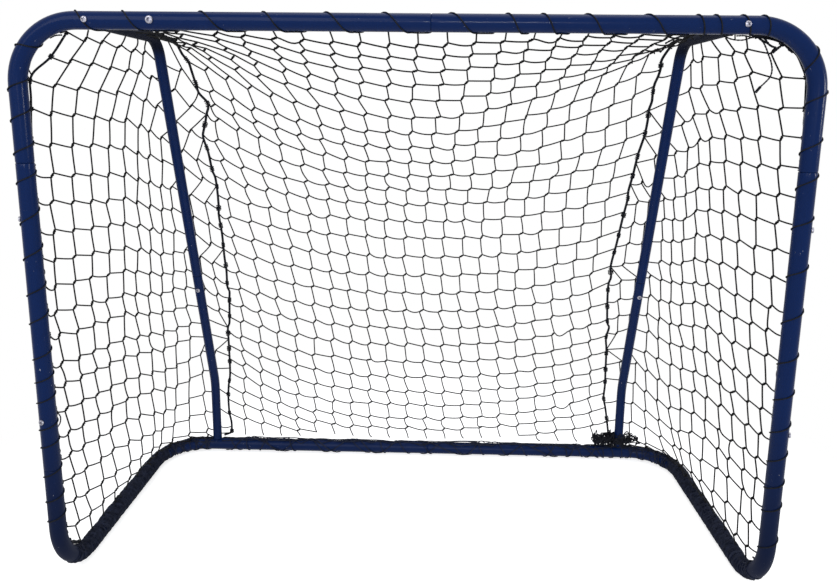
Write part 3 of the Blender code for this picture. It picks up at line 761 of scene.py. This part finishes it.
class Rail:
    # A tube's centreline with two directions across it, for what is wound round it
    def __init__(self, corners, across):
        self.route = evenly(bentRoute(corners, goal["bend"], 0.002), 1500)
        self.length = lengthsOf(self.route)[-1]
        self.tangents = tangentsOf(self.route[None])[0]
        self.normals = carriedNormals(self.tangents[None], np.array([across], float))[0]

    def nearest(self, point):
        gaps = np.linalg.norm(self.route - np.asarray(point), axis=1)
        return lengthsOf(self.route)[np.argmin(gaps)]

    def around(self, lengths, angles, lift):
        # Angle 0 is along the carried `across`, and turns from there towards tangent x across
        tangent = unit(pointsAt(self.route, lengths, self.tangents))
        normal = unit(pointsAt(self.route, lengths, self.normals))
        other = np.cross(tangent, normal)
        out = normal * np.cos(angles)[:, None] + other * np.sin(angles)[:, None]
        points = pointsAt(self.route, lengths) + out * (goal["tube"] / 2 + lift)[:, None]
        points[:, 2] = np.maximum(points[:, 2], wrapping["aboveFloor"])
        return points


def lacedRoute(rail, places, rest, advance, rng):
    # A turn round the tube at each place; between turns the cord runs along at the angle `rest`
    lengths, angles = [], []
    places = np.sort(places)
    for turn, place in enumerate(places):
        half = advance * rng.uniform(0.8, 1.2) / 2
        gaps = np.diff(places[max(0, turn - 1):turn + 2])
        half = min(half, gaps.min() * 0.42)
        steps = np.linspace(0, 1, wrapping["around"] + 1)
        lengths += list(place - half + 2 * half * steps)
        angles += list(rest + 2 * math.pi * (turn + steps))
        if turn + 1 < len(places):
            start, end = place + half, places[turn + 1] - advance / 2
            if end > start:
                lengths += list(np.linspace(start, end, 6)[1:-1])
                angles += list(rest + 2 * math.pi * (turn + 1) + rng.normal(0, 0.10, 4))
    order = np.argsort(lengths, kind="stable")
    return np.array(lengths)[order], np.array(angles)[order]


def addLacing(name, rail, places, rest, node, seed, advance=0.040, edge=None, hitches=()):
    rng = np.random.default_rng(seed)
    lengths, angles = lacedRoute(rail, places, rest, advance, rng)
    points = rail.around(lengths, angles, np.full(len(lengths), wrapping["lace"]))
    shape = Shape()
    count = int(lengthsOf(points)[-1] / wrapping["spacing"])
    shape.cords(evenly(points, count), wrapping["lace"], 8)
    if edge is not None:
        shape.cords(edge, wrapping["edge"], 8)
    for place in hitches:
        addHitch(shape, edge, place, rng)
    shape.make(name, cord, "lacing_cord", node)


def addHitch(shape, line, place, rng, wide=0.0024, long=0.0065):
    # A few tight turns of twine round a line at a place along it
    t = np.linspace(-0.5, 0.5, 22)
    middle = pointsAt(line, place + t * long)
    tangent = unit(middle[-1] - middle[0])
    side = unit(np.cross(tangent, rng.normal(0, 1, 3)))
    other = np.cross(tangent, side)
    angle = 2 * math.pi * 3.2 * t
    around = side * np.cos(angle)[:, None] + other * np.sin(angle)[:, None]
    shape.cords(middle + around * wide * rng.uniform(0.85, 1.2), wrapping["hitch"], 6)


# Where the cord goes round: x on the crossbar, heights on the posts, and how far a turn's middle
# lies beyond its place
wraps = {
    "barShift": 0.0055,
    "postShift": {-1: -0.0095, 1: 0.0025},
    "crossbar": (
        -4780, -4110, -3020, -2140, -1270, -460, 470, 1250, 1730, 2340, 3160, 3850, 4080, 4450, 4730,
    ),
    "left": (
        8476, 7844, 7401, 6927, 6504, 5911, 5381, 4826, 4387, 3813, 3440, 3112, 2664, 2378, 1884, 1452,
        1120,
    ),
    "right": (8591, 7973, 7326, 6820, 6218, 5514, 4837, 4176, 3594, 3081, 2609, 2146, 1760, 1163),
}

corners = [(-postX, frontY, 0.70), (-postX, frontY, barZ), (postX, frontY, barZ), (postX, frontY, 0.70)]
topRail = Rail(corners, (0, 1, 0))
barPlaces = [topRail.nearest((x, frontY, barZ)) for x in metres(wraps["crossbar"])]
addLacing("bar_lacing", topRail, np.array(barPlaces) + wraps["barShift"], -math.pi / 2,
          "lacing_crossbar", 31, 0.072)

for side, word in bothSides:
    x = side * postX
    upright = Rail([(side * 0.30, frontY, barZ), (x, frontY, barZ), (x, frontY, railZ)], (0, 1, 0))
    places = [upright.nearest((x, frontY, z)) for z in metres(wraps[word])]
    places = np.array(places) + wraps["postShift"][side]
    edge = evenly(frontLine(side, word), 260)
    heights = metres(sideNet[word]["post"])[1:-1]
    total = lengthsOf(edge)
    hitches = [total[np.argmin(np.abs(edge[:, 2] - z))] for z in heights]
    addLacing("post_lacing_" + word, upright, places, -side * 0.55, "lacing_post_" + word, 40 + side,
              edge=edge, hitches=hitches)
print("post and crossbar lacing made")

# Pitches are (place from the start, pitch), coils (share of that pitch, lift, thickness)
bundles = {
    "rail": {
        "pitches": (
            (0, 0.0160), (0.045, 0.0060), (0.090, 0.0036), (0.380, 0.0040), (0.430, 0.0130), (0.60, 0.0220),
        ),
        "strands": 9, "spread": 0.9, "lump": 0.0022, "cord": 0.0007,
        "coils": (
            (1, 0.0, 1.1), (-2.3, 0.0004, 1.1), (3.7, 0.0006, 1.2), (5.5, 0.0002, 2.1), (-7.0, 0.0004, 1.6),
        ),
    },
    "rear": {
        "pitches": ((0, 0.036), (0.20, 0.060), (0.60, 0.060), (0.80, 0.032)),
        "strands": 5, "spread": 0.40, "lump": 0.0030, "cord": 0.0009,
        "coils": ((1, 0.0, 1.1), (-1.6, 0.0004, 1.1), (2.56, 0.0006, 1.2)),
    },
}


def coil(rail, start, end, pitches, stretch, phase, rng):
    # Lengths and angles of a coil whose pitch changes along the tube
    lengths = np.linspace(start, end, 3000)
    pitch = np.interp(lengths - start, *zip(*pitches)) * abs(stretch)
    turns = np.concatenate([[0], np.cumsum(np.diff(lengths) / pitch[1:])])
    t = np.arange(0, turns[-1], 1 / wrapping["around"])
    spots = int(turns[-1]) + 2
    wander = np.interp(t, np.arange(spots), rng.normal(0, 0.28, spots))
    lengths = np.interp(np.clip(t + wander, 0, turns[-1]), turns, lengths)
    return lengths, phase + math.copysign(2 * math.pi, stretch) * t


def addBundle(name, rail, start, end, up, node, seed, looks):
    # Net edge gathered along a tube under close turns of cord
    rng = np.random.default_rng(seed)
    shape = Shape()
    count = int((end - start) / 0.004)
    along = np.linspace(start, end, count)
    spots = int((end - start) / 0.022)
    lump = np.interp(along, np.linspace(start, end, spots), rng.uniform(0, 1, spots) ** 2)
    for k in range(looks["strands"]):
        wave = np.interp(along, np.linspace(start, end, spots), rng.normal(0, 0.28, spots))
        angles = up + looks["spread"] * (k / (looks["strands"] - 1) - 0.5) * 2 + wave
        lift = looks["cord"] * 0.9 + looks["lump"] * lump * rng.uniform(0.2, 1.0)
        shape.cords(rail.around(along, angles, lift), looks["cord"], 6)
    for stretch, over, thick in looks["coils"]:
        lengths, angles = coil(rail, start, end, looks["pitches"], stretch, rng.uniform(0, 6), rng)
        facing = np.clip(np.cos(angles - up) + 0.3, 0, 1)
        lift = looks["cord"] + over + facing * looks["lump"] * np.interp(lengths, along, lump)
        shape.cords(rail.around(lengths, angles, lift), looks["cord"] * thick, 6)
    shape.make(name, lace, "lacing_cord", node)


for side, word in bothSides:
    x = side * postX
    corners = [(x, frontY, 0.30), (x, frontY, railZ), (x, rearY, railZ), (side * 0.30, rearY, railZ)]
    bottom = Rail(corners, (1, 0, 0))
    start = bottom.nearest((x, frontY + 0.032, railZ + 0.028))
    end = bottom.nearest((side * (strut["x"] + 0.006), rearY, railZ))
    addBundle("rail_lacing_" + word, bottom, start, end, -math.pi / 2, "lacing_rail_" + word, 50 + side,
              bundles["rail"])

rearRail = Rail([(-strut["x"], rearY, railZ), (strut["x"], rearY, railZ)], (0, 1, 0))
addBundle("rear_lacing", rearRail, 0.012, rearRail.length - 0.012, math.pi / 2, "lacing_rear_bar", 60,
          bundles["rear"])

for side, word in bothSides:
    rng = np.random.default_rng(70 + side)
    line = ropeLines[word]
    line = np.concatenate([line, [[side * (strut["x"] - 0.012), rearY + 0.012, 0.030]]])
    line = evenly(line, 200)
    shape = Shape()
    shape.cords(line, wrapping["rope"], 10)
    for place in np.linspace(0.01, lengthsOf(line)[-1] - 0.02, 22):
        addHitch(shape, line, place + rng.normal(0, 0.003), rng,
                 rng.uniform(0.0030, 0.0044), rng.uniform(0.0080, 0.0115))
    shape.make("corner_cord_" + word, cord, "lacing_cord", "corner_rope_" + word)


tangle = {
    "loops": 40, "left": 0.398, "right": 0.490, "z": 0.0430,
    "middle": strut["x"] - 0.018, "scatter": 0.026, "clear": strut["size"] / 2 + 0.0018,
}


def addTangle():
    # Spare cord and net bunched on the rear bar at the right strut's foot
    rng = np.random.default_rng(81)
    shape = Shape()
    foot = np.array([strut["x"], rearY])
    for _ in range(tangle["loops"]):
        t = np.linspace(0, 2 * math.pi, 90)
        wide = rng.uniform(0.006, 0.024)
        x = rng.normal(tangle["middle"], tangle["scatter"])
        x = np.clip(x, tangle["left"] + wide, tangle["right"] - wide * 0.5)
        middle = np.array([x, rearY + 0.001, tangle["z"] + rng.uniform(-0.003, 0.005)])
        size = np.array([wide, rng.uniform(0.006, 0.0125), 0.004 + 0.016 * rng.random() ** 2])
        phases = rng.uniform(0, 2 * math.pi, 6)
        wobble = rng.uniform(0.15, 0.4, 3)
        points = middle + size * np.stack([
            np.cos(t + phases[0]) + wobble[0] * np.cos(3 * t + phases[1]),
            np.sin(t + phases[0]) + wobble[1] * np.sin(2 * t + phases[2]),
            np.sin(2 * t + phases[3]) + wobble[2] * np.cos(5 * t + phases[4]),
        ], -1)
        offset = points[:, :2] - foot
        reach = np.linalg.norm(offset, axis=1, keepdims=True)
        outside = foot + offset / reach * tangle["clear"]
        points[:, :2] = np.where(reach < tangle["clear"], outside, points[:, :2])
        points[:, 2] = np.maximum(points[:, 2], railZ + goal["tube"] / 2 + 0.0022)
        shape.cords(points, rng.uniform(0.0009, 0.0014), 6)
    shape.make("cord_tangle", cord, "lacing_cord", "spare_cord_coil")


addTangle()

# Loose ends, ties and gathered net by the corners: each is a radius and its points, of which
# those with two numbers are x and z on the net's front edge
ties = {
    "top_right_ties": [
        (10, [(4341, 8746), (4483, 8700), (4623, -2190, 8694), (4757, 8736)]),
        (10, [(4504, 8775), (4512, 8694)]),
        (10, [(4521, -2200, 8748), (4645, -2200, 8749), (4745, -2190, 8722)]),
        (20, [(4740, -2190, 8768), (4928, 8757), (5092, -2190, 8711), (5200, 8651), (5284, 8565),
              (5331, 8537)]),
        (14, [(4786, 8723), (4893, -2180, 8733), (5004, 8624), (5082, -2190, 8589), (5055, 8521)]),
        (11, [(5200, 8651), (5132, 8590), (5055, 8521)]),
        (22, [(4735, -2200, 8770), (4790, -2170, 8745), (4850, -2200, 8755), (4905, -2175, 8735)]),
        (18, [(4760, -2170, 8735), (4820, -2210, 8762), (4880, -2170, 8730)]),
        (11, [(4813, 8736), (4902, 8669), (4952, 8588), (4996, 8494), (5040, 8398), (5064, 8289),
              (5046, 8193), (4971, 8102), (4907, 8039), (4870, 7984)]),
        (20, [(4925, 8056), (4889, 8010), (4866, 7978)]),
    ],
    "top_left_ties": [
        (11, [(-5030, 8691), (-5120, -2195, 8682), (-5208, 8648)]),
        (11, [(-5530, 8142), (-5579, 8240)]),
        (11, [(-5537, 8057), (-5580, -2190, 8052), (-5613, 8028)]),
        (17, [(-4480, 180, 8880), (-4380, 200, 8870), (-4290, 210, 8830), (-4190, 230, 8740)]),
        (12, [(-4470, 150, 8900), (-4350, 190, 8840), (-4250, 220, 8760)]),
    ],
    "strut_top_bunches": [
        (22, [(-4425, -550, 8890), (-4420, -300, 8910), (-4415, -80, 8920), (-4380, 120, 8900),
              (-4300, 220, 8860)]),
        (20, [(-4420, -350, 8860), (-4410, -100, 8880), (-4340, 140, 8850), (-4250, 240, 8800)]),
        (16, [(4425, -450, 8910), (4420, -200, 8940), (4415, 20, 8940), (4370, 180, 8910),
              (4310, 260, 8870)]),
        (14, [(4420, -300, 8880), (4410, -50, 8900), (4360, 140, 8860)]),
    ],
    "lower_left_ties": [
        (26, [(-5590, 680), (-5620, -2060, 580), (-5650, -1880, 460), (-5690, -1740, 370),
              (-5725, -1614, 300)]),
        (16, [(-5560, -2170, 720), (-5600, -2040, 540), (-5660, -1900, 500), (-5680, -1700, 330)]),
        (10, [(-5620, 916), (-5580, 850), (-5600, 740), (-5573, 683)]),
        (10, [(-5569, 2916), (-5535, 2849), (-5551, 2748), (-5607, 2662)]),
        (10, [(-5623, -500, 290), (-5620, -430, 400), (-5610, -330, 390), (-5600, -226, 425)]),
        (10, [(-5640, -380, 290), (-5630, -330, 395), (-5620, -200, 340)]),
        (13, [(-5620, -450, 295), (-5630, -320, 350), (-5620, -180, 292)]),
    ],
}
tieY = -2183
for name, cords in ties.items():
    shape = Shape()
    for radius, points in cords:
        points = metres([(point[0], tieY, point[1]) if len(point) == 2 else point for point in points])
        line = curveThrough(points, 12 * len(points))
        swell = 1 + 0.15 * np.sin(np.arange(len(line)) * 1.1)
        shape.cords(line, (metres(radius) * swell)[None], 7)
    shape.make(name, cord, "lacing_cord")
print("ropes and spare cord made")

# Fasteners

heads = {
    "screw": {"radius": 0.0042, "height": 0.0026, "shank": 0.0020, "recess": "cross"},
    "bolt": {"radius": 0.0052, "height": 0.0036, "shank": 0.0028, "recess": "hexagon"},
    "arm": 0.16, "reach": 0.66, "key": 0.50, "sides": 48, "rings": 26,
}


def recessDepth(kind, x, y):
    # How far into the head a point lies, as a share: x and y are in head radii
    if kind == "cross":
        near = np.minimum(np.abs(x), np.abs(y))
        far = np.maximum(np.abs(x), np.abs(y))
        across = np.clip((heads["arm"] - near) / 0.06, 0, 1)
        return across * np.clip((heads["reach"] - far) / 0.10, 0, 1) * 0.75
    flats = [x * math.cos(turn) + y * math.sin(turn) for turn in np.arange(3) * math.pi / 3]
    return np.clip((heads["key"] - np.max(np.abs(flats), axis=0)) / 0.06, 0, 1) * 0.85


def addFastener(name, looks, base, facing, length, turn):
    # A head with a pressed recess, and its shank running into the tube
    shape = Shape()
    facing = unit(facing)
    aside = unit(np.cross(facing, (0.0, 0, 1)))
    above = np.cross(aside, facing)
    sides, rings = heads["sides"], heads["rings"]
    angles = 2 * np.pi * np.arange(sides) / sides + turn
    share = np.concatenate([[0.002], np.linspace(0.03, 1, rings), [1]])[:, None]
    x, y = share * np.cos(angles), share * np.sin(angles)
    dome = 0.60 + 0.40 * np.sqrt(np.clip(1 - share ** 2, 0, 1))
    turned = np.array([math.cos(turn), math.sin(turn)])
    depth = recessDepth(looks["recess"], x * turned[0] + y * turned[1], y * turned[0] - x * turned[1])
    height = looks["height"] * (dome - depth)
    height[-1] = 0
    ring = (aside * x[..., None] + above * y[..., None]) * looks["radius"]
    points = base + ring + facing * height[..., None]
    step = np.arange(sides)
    after = (step + 1) % sides
    low = np.arange(len(points) - 1)[:, None] * sides
    walls = np.stack([low + step, low + sides + step, low + sides + after, low + after], -1)
    shape.add(points, walls.reshape(-1, 4), [step], [(len(points) - 1) * sides + step[::-1]])
    shape.cords([base - facing * 0.0001, base - facing * length], looks["shank"], 16)
    shape.make(name + "_head", zinc, "fastener_zinc", name)


barFace = np.array([0, frontY - goal["tube"] / 2 - 0.0003, barZ])
boltX = -0.363
addFastener("crossbar_bolt", heads["bolt"], barFace + (boltX, 0, 0), (0, -1, 0), 0.0315, 0.3)
postScrews = {"upper_left": 75, "lower_left": 15, "upper_right": 60, "lower_right": 75}
for side, word in bothSides:
    addFastener("strut_screw_" + word, heads["screw"], barFace + (side * strut["x"], 0, 0), (0, -1, 0),
                0.040, 0.5 + side * 0.3)
    for level, z in (("upper", 0.605), ("lower", 0.290)):
        turn = math.radians(postScrews[level + "_" + word])
        facing = np.array([side * math.sin(turn), -math.cos(turn), 0])
        base = (side * postX, frontY, z) + facing * (goal["tube"] / 2 + 0.0002)
        addFastener("post_screw_" + level + "_" + word, heads["screw"], base, facing, 0.009, 0.9)
    facing = unit(np.array([0, -1, -strut["slope"]]))
    base = (side * strut["x"], float(strutY(0.400)), 0.400) + facing * (strut["size"] / 2 + 0.0002)
    addFastener("strut_joint_screw_" + word, heads["screw"], base, facing, 0.009, 0.2)

# Plugs and the nut keep their CAD shapes
for name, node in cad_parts.items():
    if node.hide_render:
        continue
    node.data.materials.clear()
    node.data.materials.append(plugBlack if "plug" in name else zinc)
print("fasteners made")

# Camera, light and floor

view = {
    "place": (0.0345, -1.2462, 0.7673),
    "yaw": -0.0233, "pitch": 0.1805, "roll": 0.0101,
    "focal": 701.79, "pictureWidth": 837, "above": 53.06,
}


def addCamera():
    turn = (Matrix.Rotation(-view["yaw"], 4, "Z") @ Matrix.Rotation(math.pi / 2 - view["pitch"], 4, "X")
            @ Matrix.Rotation(view["roll"], 4, "Z"))
    data = bpy.data.cameras.new("camera")
    data.sensor_width = 36
    data.lens = view["focal"] * 36 / view["pictureWidth"]
    data.shift_y = -view["above"] / view["pictureWidth"]
    data.clip_start, data.clip_end = 0.05, 60
    camera = bpy.data.objects.new("camera", data)
    camera.matrix_world = Matrix.Translation(view["place"]) @ turn
    scene.collection.objects.link(camera)
    scene.camera = camera


lamps = {
    "front": {"place": (-1.4, -3.1, 2.2), "aim": (0, 0, 0.45), "size": 2.4, "power": 60},
    "right": {"place": (3.3, -1.2, 0.98), "aim": (0.3, 0, 0.60), "size": 0.45, "power": 26},
    "top": {"place": (0.2, 0.3, 3.2), "aim": (0, 0, 0.3), "size": 2.4, "power": 32},
    "strip": {
        "place": (0.33, -3.25, 1.25), "aim": (0.1, -0.24, 0.88), "size": 0.5, "height": 0.03, "power": 20,
    },
}


def addLamps():
    for name, lamp in lamps.items():
        data = bpy.data.lights.new("lamp_" + name, "AREA")
        data.shape = "RECTANGLE"
        data.size, data.size_y = lamp["size"], lamp.get("height", lamp["size"])
        data.energy = lamp["power"]
        obj = bpy.data.objects.new("lamp_" + name, data)
        place = Vector(lamp["place"])
        turn = (place - Vector(lamp["aim"])).to_track_quat("Z", "Y")
        obj.matrix_world = Matrix.LocRotScale(place, turn, None)
        scene.collection.objects.link(obj)


surround = {
    "white": colour(1, 1, 1),
    "glow": colour(0.92, 0.94, 1.0),
    "glowStrength": 0.40,
    "floor": colour(0.82, 0.82, 0.82),
    "fill": colour(0.66, 0.66, 0.66),
    "near": 0.45,
    "far": 1.00,
    "half": 6.0,
}


def seenDirectly(shader):
    # 1 for rays from the camera and for those that metal and glass pass on
    rays = [shader.node("LightPath", output=word)
            for word in ("Is Camera Ray", "Is Glossy Ray", "Is Transmission Ray")]
    settings = {"operation": "ADD", "use_clamp": True}
    return shader.node("Math", settings, [rays[0] + rays[1], rays[2]])


def addWorld():
    scene.world = scene.world or bpy.data.worlds.new("World")
    shader = Shader()
    shader.tree.nodes.clear()
    glow = {"Color": surround["glow"], "Strength": surround["glowStrength"]}
    glow = shader.node("Background", {}, glow)
    seen = shader.node("Background", {}, {"Color": surround["white"]})
    mixed = shader.node("MixShader", {}, [seenDirectly(shader), glow, seen])
    shader.surface(mixed, shader.tree.nodes.new("ShaderNodeOutputWorld"))


def addFloor():
    # White to the camera with the object's soft shadow near it, plain pale to the light
    shader = Shader("pale_floor", {"Base Color": surround["floor"], "Roughness": 0.8})
    matt = Wire(shader, shader.principled.outputs[0])
    x, y = shader.axis(shader.place(), 0), shader.axis(shader.place(), 1)
    distance = shader.node("Math", {"operation": "POWER"}, [x * x + y * y, 0.5])
    fill = shader.node("Emission", {}, {"Color": surround["fill"]})
    lit = shader.node("AddShader", {}, [matt, fill])
    white = shader.node("Emission", {}, {"Color": surround["white"]})
    far = distance.ramp(surround["near"], surround["far"])
    seen = shader.node("MixShader", {}, [far, lit, white])
    mixed = shader.node("MixShader", {}, [seenDirectly(shader), matt, seen])
    shader.surface(mixed, shader.tree.nodes["Material Output"])
    half = surround["half"]
    data = bpy.data.meshes.new("floor")
    corners = [(x * half, y * half, 0) for x, y in ((-1, -1), (1, -1), (1, 1), (-1, 1))]
    data.from_pydata(corners, [], [(0, 1, 2, 3)])
    data.materials.append(shader.owner)
    floor = bpy.data.objects.new("floor", data)
    scene.collection.objects.link(floor)


addCamera()
addLamps()
addWorld()
addFloor()
scene.view_settings.view_transform = "Standard"
print("camera, light and floor made")
